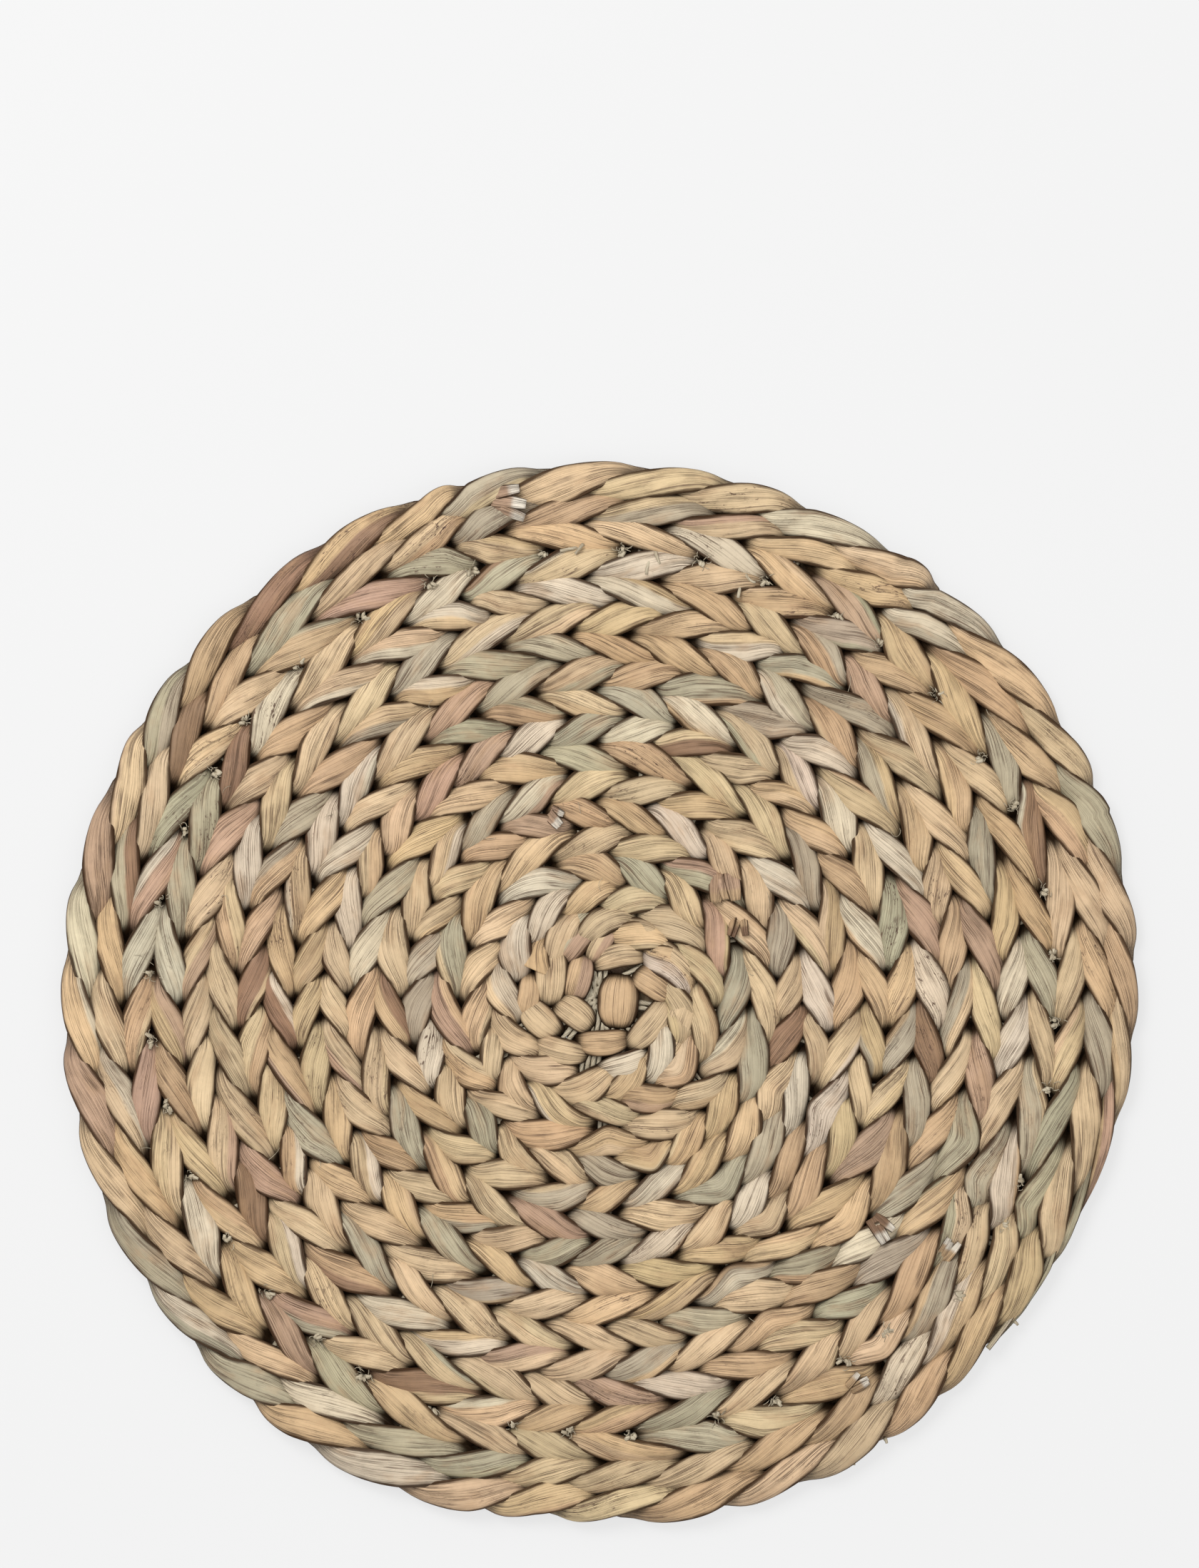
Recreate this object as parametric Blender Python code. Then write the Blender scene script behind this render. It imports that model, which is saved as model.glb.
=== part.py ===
"""A round placemat twined from flattened water hyacinth stems, as one flat solid.

The mat lies on the XY plane with its good side up, and its origin is the middle of its underside.
Its top carries the rows of twining as ribs round the middle. On each rib stands one low pyramid for
each leaf, the stretch of stem that shows between two crossings. The leaves of neighbouring rows lean
opposite ways, which gives the herringbone. The underside has the same rows with flat lands, on which
the mat rests.

A leaf takes two points on each ring: one on it, and one in the gap beside it. A row has two rings,
its crest and the groove on its inner side, and the groove's points sit half a step off the crest's,
so the strip of triangles between them follows the leaves' slant.
"""

import math
from collections import namedtuple

import bmesh
import bpy

# Driving sizes, in metres.
THICKNESS = 0.009
ROW_COUNT = 19
LEAF_RELIEF = 0.0021  # from the top of a leaf to the gap beside it
GROOVE_RELIEF = 0.0020  # from a row's crest to the tips that meet in the groove
SCALLOP = 0.0011  # how far a rim leaf stands out past the mean outline, and its gap back
EDGE_ROUND = 0.0030  # the drop and rise of the rim's rounded edge
LAND_SHARE = 0.62  # of a row's width, flat on the surface underneath
UNDER_GROOVE = 0.0014  # depth of the grooves underneath
MIDDLE_SHARE = 0.35  # the middle knot's radius, as a share of a row's width
COLLECTION = "water_hyacinth_placemat"

# The outline seen from above: the distance from the middle, in millimetres, at an angle in degrees
# that runs anticlockwise from +X. The last row of twining runs out between 300 and 308 degrees.
OutlinePoint = namedtuple("OutlinePoint", "degrees millimetres")
OUTLINE = (
    OutlinePoint(0, 187.2),
    OutlinePoint(20, 187.6),
    OutlinePoint(40, 186.3),
    OutlinePoint(56, 184.0),
    OutlinePoint(80, 185.2),
    OutlinePoint(112, 183.2),
    OutlinePoint(132, 182.7),
    OutlinePoint(160, 185.6),
    OutlinePoint(190, 184.5),
    OutlinePoint(210, 186.7),
    OutlinePoint(240, 185.9),
    OutlinePoint(264, 183.5),
    OutlinePoint(298, 185.7),
    OutlinePoint(308, 181.4),
    OutlinePoint(326, 182.3),
    OutlinePoint(342, 185.4),
)

# How many spokes a row of twining crosses. The weaver adds spokes as the rows grow.
Band = namedtuple("Band", "rows spokes")
BANDS = (
    Band(rows=5, spokes=40),
    Band(rows=2, spokes=36),
    Band(rows=3, spokes=32),
    Band(rows=3, spokes=24),
    Band(rows=2, spokes=16),
    Band(rows=2, spokes=12),
    Band(rows=2, spokes=8),
)
RIM_ROWS = 2  # rows that lean the same way at the rim
CORE_ROWS = 4  # and in the middle; between them they take turns

StrawFinish = namedtuple("StrawFinish", "colour roughness metallic")
STRAW = StrawFinish(colour=(0.46, 0.36, 0.22, 1.0), roughness=0.62, metallic=0.0)

MM = 0.001
MEAN_RADIUS = sum(point.millimetres for point in OUTLINE) / len(OUTLINE) * MM
ROW_WIDTH = MEAN_RADIUS / ROW_COUNT


def clear_scene():
    """Removes every object of the scene."""
    for thing in list(bpy.data.objects):
        bpy.data.objects.remove(thing, do_unlink=True)


def outline_radius(angle):
    """The distance from the middle to the outline at an angle in radians, eased between the table's points."""
    degrees = math.degrees(angle) % 360
    after = next((i for i, point in enumerate(OUTLINE) if point.degrees > degrees), len(OUTLINE))
    low, high = OUTLINE[after - 1], OUTLINE[after % len(OUTLINE)]
    span = (high.degrees - low.degrees) % 360
    share = (degrees - low.degrees) % 360 / span
    eased = (1 - math.cos(math.pi * share)) / 2
    return (low.millimetres + (high.millimetres - low.millimetres) * eased) * MM


def placed(radius, angle):
    """The point of the mat at this mean radius and angle: true circles in the middle, the outline at the rim."""
    share = (radius / MEAN_RADIUS) ** 2
    grown = radius * (1 + share * (outline_radius(angle) / MEAN_RADIUS - 1))
    return grown * math.cos(angle), grown * math.sin(angle)


def spokes_by_row():
    """The number of spokes that each row crosses, from the rim to the middle."""
    return [band.spokes for band in BANDS for _ in range(band.rows)]


def lean(row):
    """Which way a row's leaves lean: 1 where a leaf's outer end lies at the lower angle, or -1."""
    if row < RIM_ROWS or row >= ROW_COUNT - CORE_ROWS:
        return 1
    return -1 if (row - RIM_ROWS) % 2 == 0 else 1


def gap_in_groove(groove):
    """Where the gaps meet a groove, as a share of a spoke's step. Groove 0 is the rim."""
    return (groove % 2) / 2


def ring(mesh, radius, count, start, heights, swell=(0.0, 0.0)):
    """Makes a ring of count points, the first at start steps. Heights and swells take turns round it."""
    made = []
    for i in range(count):
        angle = math.tau * (i + start) / count
        x, y = placed(radius + swell[i % len(swell)], angle)
        made.append((angle, mesh.verts.new((x, y, heights[i % len(heights)]))))
    return made


def alternating(spokes, first_share, gap_share, on_leaf, in_gap):
    """Two points a spoke, the first at first_share of its step: the ring's count, start and two values."""
    first_is_gap = abs(first_share - gap_share % 1) < 1e-6
    values = (in_gap, on_leaf) if first_is_gap else (on_leaf, in_gap)
    return 2 * spokes, 2 * first_share, values


def zip_rings(mesh, one, other):
    """Joins two rings, of like or unlike numbers of points, with a strip of triangles."""
    i = j = 0
    while i < len(one) or j < len(other):
        next_one = one[(i + 1) % len(one)][0] + math.tau * ((i + 1) // len(one))
        next_other = other[(j + 1) % len(other)][0] + math.tau * ((j + 1) // len(other))
        a, b = one[i % len(one)][1], other[j % len(other)][1]
        if j == len(other) or (i < len(one) and next_one <= next_other):
            mesh.faces.new((a, one[(i + 1) % len(one)][1], b))
            i += 1
        else:
            mesh.faces.new((a, other[(j + 1) % len(other)][1], b))
            j += 1


def zip_all(mesh, rings):
    """Joins each ring to the next, and closes the last one with a flat face."""
    for one, other in zip(rings, rings[1:]):
        zip_rings(mesh, one, other)
    mesh.faces.new([vertex for _, vertex in rings[-1]])


def top_rings(mesh):
    """The rings of the top, from the rim's upper edge to the middle."""
    rows = spokes_by_row()
    crest_gap = THICKNESS - LEAF_RELIEF
    groove_tip = THICKNESS - GROOVE_RELIEF
    groove_gap = groove_tip - LEAF_RELIEF / 2
    count, start, swell = alternating(rows[0], 0.0, gap_in_groove(0), SCALLOP, -SCALLOP)
    rings = [ring(mesh, MEAN_RADIUS, count, start, (THICKNESS - EDGE_ROUND,), swell)]
    for row, spokes in enumerate(rows):
        crest_radius = MEAN_RADIUS - (row + 0.5) * ROW_WIDTH
        gap = gap_in_groove(row) + lean(row) / 4
        count, start, heights = alternating(spokes, 0.25, gap, THICKNESS, crest_gap)
        rings.append(ring(mesh, crest_radius, count, start, heights))
        last = row == ROW_COUNT - 1
        groove_radius = MIDDLE_SHARE * ROW_WIDTH if last else crest_radius - ROW_WIDTH / 2
        gap = gap_in_groove(row + 1)
        count, start, heights = alternating(spokes, 0.0, gap, groove_tip, groove_gap)
        if last:
            count, heights = spokes, (groove_tip,)
        rings.append(ring(mesh, groove_radius, count, start, heights))
    return rings


def underside_rings(mesh):
    """The rings underneath, from the rim's lower edge to the middle: a flat land and a groove for each row."""
    rows = spokes_by_row()
    count, start, swell = alternating(rows[0], 0.0, gap_in_groove(0), SCALLOP, -SCALLOP)
    rings = [ring(mesh, MEAN_RADIUS, count, start, (EDGE_ROUND,), swell)]
    half_land = LAND_SHARE * ROW_WIDTH / 2
    for row, spokes in enumerate(rows):
        middle = MEAN_RADIUS - (row + 0.5) * ROW_WIDTH
        rings.append(ring(mesh, middle + half_land, spokes, 0.0, (0.0,)))
        if row < ROW_COUNT - 1:
            rings.append(ring(mesh, middle - half_land, spokes, 0.0, (0.0,)))
            rings.append(ring(mesh, middle - ROW_WIDTH / 2, spokes, 0.0, (UNDER_GROOVE,)))
    return rings


def centre_on_origin(mesh):
    """Moves the mat sideways so that the middle of its box lies over the origin."""
    for axis in (0, 1):
        places = [vertex.co[axis] for vertex in mesh.verts]
        middle = (min(places) + max(places)) / 2
        for vertex in mesh.verts:
            vertex.co[axis] -= middle


def straw_material():
    """Dried water hyacinth, a pale greenish brown with a soft sheen."""
    material = bpy.data.materials.new("straw")
    material.use_nodes = True
    shader = material.node_tree.nodes["Principled BSDF"]
    shader.inputs["Base Color"].default_value = STRAW.colour
    shader.inputs["Roughness"].default_value = STRAW.roughness
    shader.inputs["Metallic"].default_value = STRAW.metallic
    material.diffuse_color = STRAW.colour
    return material


def make_mat(collection):
    """The whole mat: the twined top, the rounded rim and the underside, as one closed solid."""
    mesh = bmesh.new()
    top, under = top_rings(mesh), underside_rings(mesh)
    zip_rings(mesh, top[0], under[0])
    zip_all(mesh, top)
    zip_all(mesh, under)
    centre_on_origin(mesh)
    bmesh.ops.recalc_face_normals(mesh, faces=mesh.faces)
    data = bpy.data.meshes.new("mat")
    mesh.to_mesh(data)
    mesh.free()
    data.materials.append(straw_material())
    mat = bpy.data.objects.new("mat", data)
    collection.objects.link(mat)
    return mat


def main():
    clear_scene()
    collection = bpy.data.collections.new(COLLECTION)
    bpy.context.scene.collection.children.link(collection)
    make_mat(collection)


main()
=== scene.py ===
"""Dresses the water hyacinth placemat.

Two flattened stems, the weavers, are twined round thin cord spokes in one spiral that grows outward
from the middle. Each stretch of stem over a spoke shows as a leaf. The twist turns round at the same
spoke in every row, which gives the herringbone.
"""

import logging
import math
from dataclasses import dataclass, field
from enum import Enum
from typing import ClassVar

import bpy
import numpy as np
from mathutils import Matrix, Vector


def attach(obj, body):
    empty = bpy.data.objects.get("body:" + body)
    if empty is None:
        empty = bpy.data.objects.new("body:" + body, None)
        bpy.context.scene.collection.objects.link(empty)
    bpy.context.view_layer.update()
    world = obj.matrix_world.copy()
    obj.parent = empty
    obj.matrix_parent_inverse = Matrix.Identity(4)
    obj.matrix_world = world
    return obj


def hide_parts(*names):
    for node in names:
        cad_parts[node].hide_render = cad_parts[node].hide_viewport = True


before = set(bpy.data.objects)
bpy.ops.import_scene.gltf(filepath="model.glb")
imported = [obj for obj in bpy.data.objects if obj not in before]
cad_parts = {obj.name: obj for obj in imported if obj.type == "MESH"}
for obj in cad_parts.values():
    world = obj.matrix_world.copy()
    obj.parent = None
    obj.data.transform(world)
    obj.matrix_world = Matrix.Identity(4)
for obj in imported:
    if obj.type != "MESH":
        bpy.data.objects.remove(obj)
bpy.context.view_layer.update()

MM = 0.001
RIM_INSET = 0.0015  # from the even spiral's edge to the mat's mean outline
FIRST_ROW_RADIUS = 0.0237  # where the spiral's rows start, outside the middle's leaves
NO_SEAM = 2.4  # a seam's place that lies off the leaf, so that it has one tone
UP = np.array((0.0, 0.0, 1.0))
Socket = bpy.types.NodeSocket
Colour = tuple[float, float, float]
LOG = logging.getLogger("placemat")


class Tone(Enum):
    """Colours of dried stem, as linear red, green and blue."""

    STRAW = (0.585, 0.425, 0.250)
    PALE = (0.605, 0.500, 0.360)
    GOLD = (0.580, 0.405, 0.222)
    TAN = (0.510, 0.342, 0.190)
    GREEN = (0.410, 0.355, 0.235)
    GREY = (0.400, 0.325, 0.225)
    PINK = (0.440, 0.285, 0.185)
    BROWN = (0.270, 0.155, 0.088)
    PITH = (0.780, 0.700, 0.580)


class Lean(Enum):
    """Which way a row's twist turns: a leaf's outer end lies at its lower or at its higher angle."""

    OUTER_FIRST = 1
    OUTER_LAST = -1


class Weaver(Enum):
    """The two stems that are twined: the value is the spoke on which the stem first lies on top."""

    FIRST = 0
    SECOND = 1


class Graph:
    """A node tree under construction, with short calls for the nodes that it uses most."""

    def __init__(self, tree: bpy.types.NodeTree) -> None:
        """Starts on an empty tree.

        Args:
            tree: the node tree to fill.
        """
        self.tree = tree

    def node(self, kind: str, **settings: object) -> bpy.types.Node:
        """Adds a node.

        Args:
            kind: the node's type name.
            settings: the node's properties.

        Returns:
            The new node.
        """
        made = self.tree.nodes.new(kind)
        for name, value in settings.items():
            setattr(made, name, value)
        return made

    def feed(self, socket: Socket, value: object) -> None:
        """Links a socket to another, or sets its own value.

        Args:
            socket: the input to feed.
            value: another socket, or the value.
        """
        if isinstance(value, Socket):
            self.tree.links.new(value, socket)
        else:
            socket.default_value = value

    def math(self, operation: str, *values: object, clamp: bool = False) -> Socket:
        """Adds a Math node.

        Args:
            operation: the operation's name.
            values: numbers or sockets, in the node's order.
            clamp: whether the result stays between 0 and 1.

        Returns:
            The node's result.
        """
        made = self.node("ShaderNodeMath", operation=operation, use_clamp=clamp)
        for socket, value in zip(made.inputs, values):
            self.feed(socket, value)
        return made.outputs[0]

    def times(self, *values: object) -> Socket:
        """Multiplies numbers.

        Args:
            values: two or more numbers or sockets.

        Returns:
            Their product.
        """
        product = values[0]
        for value in values[1:]:
            product = self.math("MULTIPLY", product, value)
        return product

    def scaled(self, vector: Socket, factor: object) -> Socket:
        """Multiplies a vector or a colour by a number.

        Args:
            vector: the vector or colour.
            factor: the number.

        Returns:
            The product.
        """
        made = self.node("ShaderNodeVectorMath", operation="SCALE")
        self.feed(made.inputs[0], vector)
        self.feed(made.inputs["Scale"], factor)
        return made.outputs[0]

    def added(self, *vectors: Socket) -> Socket:
        """Adds vectors.

        Args:
            vectors: two or more vectors.

        Returns:
            Their sum.
        """
        total = vectors[0]
        for vector in vectors[1:]:
            made = self.node("ShaderNodeVectorMath", operation="ADD")
            self.feed(made.inputs[0], total)
            self.feed(made.inputs[1], vector)
            total = made.outputs[0]
        return total

    def combine(self, x: object, y: object, z: object) -> Socket:
        """Makes a vector.

        Args:
            x: its first number.
            y: its second number.
            z: its third number.

        Returns:
            The vector.
        """
        made = self.node("ShaderNodeCombineXYZ")
        for socket, value in zip(made.inputs, (x, y, z)):
            self.feed(socket, value)
        return made.outputs[0]

    def split(self, vector: Socket) -> bpy.types.NodeOutputs:
        """Takes a vector apart.

        Args:
            vector: the vector.

        Returns:
            Its three numbers.
        """
        made = self.node("ShaderNodeSeparateXYZ")
        self.feed(made.inputs[0], vector)
        return made.outputs

    def eased(self, value: object, low: float, high: float, start: float = 0.0, end: float = 1.0) -> Socket:
        """A smooth step.

        Args:
            value: what is stepped.
            low: where the step starts.
            high: where it ends.
            start: the result at low and before.
            end: the result at high and past it.

        Returns:
            The stepped value.
        """
        made = self.node("ShaderNodeMapRange", interpolation_type="SMOOTHSTEP")
        names = ("Value", "From Min", "From Max", "To Min", "To Max")
        for name, given in zip(names, (value, low, high, start, end)):
            self.feed(made.inputs[name], given)
        return made.outputs["Result"]

    def noise(self, vector: Socket, scale: float, detail: float = 2.0, roughness: float = 0.5) -> Socket:
        """Adds a noise texture.

        Args:
            vector: the place that it reads.
            scale: how many of its steps lie in a length of 1.
            detail: how many finer layers it has.
            roughness: how strong the finer layers are.

        Returns:
            Its value, about 0.5 on average.
        """
        made = self.node("ShaderNodeTexNoise")
        self.feed(made.inputs["Vector"], vector)
        for name, given in (("Scale", scale), ("Detail", detail), ("Roughness", roughness)):
            self.feed(made.inputs[name], given)
        return made.outputs[0]

    def mixed(self, share: object, one: object, other: object) -> Socket:
        """Mixes two colours.

        Args:
            share: how much of the second colour there is.
            one: the first colour.
            other: the second colour.

        Returns:
            The mixed colour.
        """
        made = self.node("ShaderNodeMix", data_type="RGBA")
        self.feed(made.inputs[0], share)
        self.feed(made.inputs[6], one)
        self.feed(made.inputs[7], other)
        return made.outputs[2]


class Shader(Graph):
    """A material's node tree, with a Principled BSDF on its output."""

    def __init__(self, name: str, look: Colour, roughness: float) -> None:
        """Makes the material.

        Args:
            name: the material's name.
            look: its colour in plain views.
            roughness: the shader's own roughness.
        """
        self.material = bpy.data.materials.new(name)
        self.material.use_nodes = True
        self.material.diffuse_color = (*look, 1.0)
        super().__init__(self.material.node_tree)
        self.surface = self.tree.nodes["Principled BSDF"]
        self.surface.inputs["Roughness"].default_value = roughness

    def attribute(self, name: str, output: str = "Fac") -> Socket:
        """A value that the piece's mesh holds under this name."""
        return self.node("ShaderNodeAttribute", attribute_name=name).outputs[output]

    def bumped(self, height: Socket, distance: float, strength: float) -> None:
        """Gives the surface a bump.

        Args:
            height: the height, in shares of distance.
            distance: the height of 1, in metres.
            strength: how much of it shows.
        """
        bump = self.node("ShaderNodeBump")
        self.feed(bump.inputs["Height"], height)
        self.feed(bump.inputs["Distance"], distance)
        self.feed(bump.inputs["Strength"], strength)
        self.tree.links.new(bump.outputs[0], self.surface.inputs["Normal"])


class Builder(Graph):
    """A geometry node tree, with named inputs, that turns a guide into a plain mesh."""

    def __init__(self, name: str, inputs: dict[str, tuple[str, object]]) -> None:
        """Makes the tree with its inputs.

        Args:
            name: the tree's name.
            inputs: for each input's name, its kind of socket and its value.
        """
        super().__init__(bpy.data.node_groups.new(name, "GeometryNodeTree"))
        self.tree.interface.new_socket("Geometry", in_out="OUTPUT", socket_type="NodeSocketGeometry")
        self.tree.interface.new_socket("Geometry", in_out="INPUT", socket_type="NodeSocketGeometry")
        self.values: dict[str, object] = {}
        for label, (kind, value) in inputs.items():
            socket = self.tree.interface.new_socket(label, in_out="INPUT", socket_type=f"NodeSocket{kind}")
            self.values[socket.identifier] = value
        self.given = self.node("NodeGroupInput").outputs

    def attribute(self, name: str, kind: str = "FLOAT") -> Socket:
        """Reads a value that the guide holds.

        Args:
            name: the value's name.
            kind: its kind of data.

        Returns:
            The value.
        """
        made = self.node("GeometryNodeInputNamedAttribute", data_type=kind)
        made.inputs["Name"].default_value = name
        return made.outputs["Attribute"]

    def stored(
        self, geometry: Socket, name: str, value: Socket, kind: str = "FLOAT", domain: str = "POINT"
    ) -> Socket:
        """Writes a named value on a geometry.

        Args:
            geometry: the geometry.
            name: the value's name.
            value: the value.
            kind: its kind of data.
            domain: what holds it: points, or the corners of faces.

        Returns:
            The geometry with the value.
        """
        made = self.node("GeometryNodeStoreNamedAttribute", data_type=kind, domain=domain)
        self.feed(made.inputs["Geometry"], geometry)
        made.inputs["Name"].default_value = name
        self.feed(made.inputs["Value"], value)
        return made.outputs[0]

    def skin(self, points: Socket, around: Socket) -> Socket:
        """Sweeps a ring of points along the guide, with a cap on each end.

        Args:
            points: how many points the ring has.
            around: each point's place on the ring, stored under that name.

        Returns:
            The skin.
        """
        curve = self.node("GeometryNodeMeshToCurve")
        self.feed(curve.inputs["Mesh"], self.given["Geometry"])
        circle = self.node("GeometryNodeCurvePrimitiveCircle", mode="RADIUS")
        self.feed(circle.inputs["Resolution"], points)
        circle.inputs["Radius"].default_value = 1.0
        made = self.node("GeometryNodeCurveToMesh")
        self.feed(made.inputs["Curve"], curve.outputs[0])
        self.feed(made.inputs["Profile Curve"], self.stored(circle.outputs["Curve"], "around", around))
        made.inputs["Fill Caps"].default_value = True
        return made.outputs[0]

    def moved(self, geometry: Socket, place: Socket) -> Socket:
        """Puts every point of a geometry where a formula says.

        Args:
            geometry: the geometry.
            place: each point's new place.

        Returns:
            The moved geometry.
        """
        move = self.node("GeometryNodeSetPosition")
        self.feed(move.inputs["Geometry"], geometry)
        self.feed(move.inputs["Position"], place)
        return move.outputs[0]

    def close(self, geometry: Socket) -> None:
        """Ends the tree: smooth faces, instances realized, and the material set.

        Args:
            geometry: the finished geometry.
        """
        smooth = self.node("GeometryNodeSetShadeSmooth")
        self.feed(smooth.inputs["Geometry"], geometry)
        real = self.node("GeometryNodeRealizeInstances")
        self.feed(real.inputs[0], smooth.outputs[0])
        finish = self.node("GeometryNodeSetMaterial")
        self.feed(finish.inputs["Geometry"], real.outputs[0])
        self.feed(finish.inputs["Material"], self.given["Material"])
        self.tree.links.new(finish.outputs[0], self.node("NodeGroupOutput").inputs[0])

    def grow(self, name: str, guide: "Guide", keep: tuple[str, ...]) -> bpy.types.Object:
        """Runs the tree on a guide.

        Args:
            name: the new piece's name.
            guide: the chains that the tree starts from.
            keep: the attributes that the material reads; the rest are dropped.

        Returns:
            The piece, with a plain mesh and no modifier.
        """
        start = guide.mesh(f"{name}_guide")
        holder = bpy.data.objects.new(start.name, start)
        bpy.context.scene.collection.objects.link(holder)
        modifier = holder.modifiers.new("build", "NODES")
        modifier.node_group = self.tree
        for identifier, value in self.values.items():
            modifier[identifier] = value
        graph = bpy.context.evaluated_depsgraph_get()
        mesh = bpy.data.meshes.new_from_object(
            holder.evaluated_get(graph), preserve_all_data_layers=True, depsgraph=graph
        )
        mesh.name = name
        for spare in [a.name for a in mesh.attributes if not a.is_required and a.name not in keep]:
            if not spare.startswith(".") and spare not in ("sharp_face", "material_index"):
                mesh.attributes.remove(mesh.attributes[spare])
        piece = bpy.data.objects.new(name, mesh)
        bpy.context.scene.collection.objects.link(piece)
        bpy.data.objects.remove(holder, do_unlink=True)
        bpy.data.meshes.remove(start)
        LOG.info("%s: %d faces", name, len(mesh.polygons))
        return piece


@dataclass
class Guide:
    """Chains of points that a Builder follows, with named values at each point."""

    values: dict[str, list[np.ndarray]] = field(default_factory=dict)
    lengths: list[int] = field(default_factory=list)
    # For each number of columns, the attribute's kind of data and its property's name.
    kinds: ClassVar[dict[int, tuple[str, str]]] = {
        1: ("FLOAT", "value"),
        3: ("FLOAT_VECTOR", "vector"),
        4: ("FLOAT_COLOR", "color"),
    }

    def add(self, **values: np.ndarray) -> None:
        """Adds one chain.

        Args:
            values: for each name, one row a point. The name axis holds the places.
        """
        for name, rows in values.items():
            self.values.setdefault(name, []).append(np.asarray(rows, float))
        self.lengths.append(len(values["axis"]))

    def mesh(self, name: str) -> bpy.types.Mesh:
        """The chains as one mesh of points and edges.

        Args:
            name: the mesh's name.

        Returns:
            The mesh, with every value as a point attribute.
        """
        joined = {key: np.concatenate(rows) for key, rows in self.values.items()}
        starts = np.cumsum([0, *self.lengths])
        edges = [(i, i + 1) for a, b in zip(starts, starts[1:]) for i in range(a, b - 1)]
        made = bpy.data.meshes.new(name)
        made.from_pydata(joined["axis"].tolist(), edges, [])
        for key, rows in joined.items():
            width = rows.shape[1] if rows.ndim > 1 else 1
            kind, slot = self.kinds[width]
            layer = made.attributes.new(key, kind, "POINT")
            layer.data.foreach_set(slot, rows.astype(np.float32).ravel())
        return made


def smoothstep(values: np.ndarray) -> np.ndarray:
    """Eases values between 0 and 1."""
    share = np.clip(values, 0, 1)
    return share * share * (3 - 2 * share)


def with_alpha(colours: np.ndarray) -> np.ndarray:
    """Colours with a last column of ones."""
    return np.hstack([colours, np.ones((len(colours), 1))])


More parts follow.
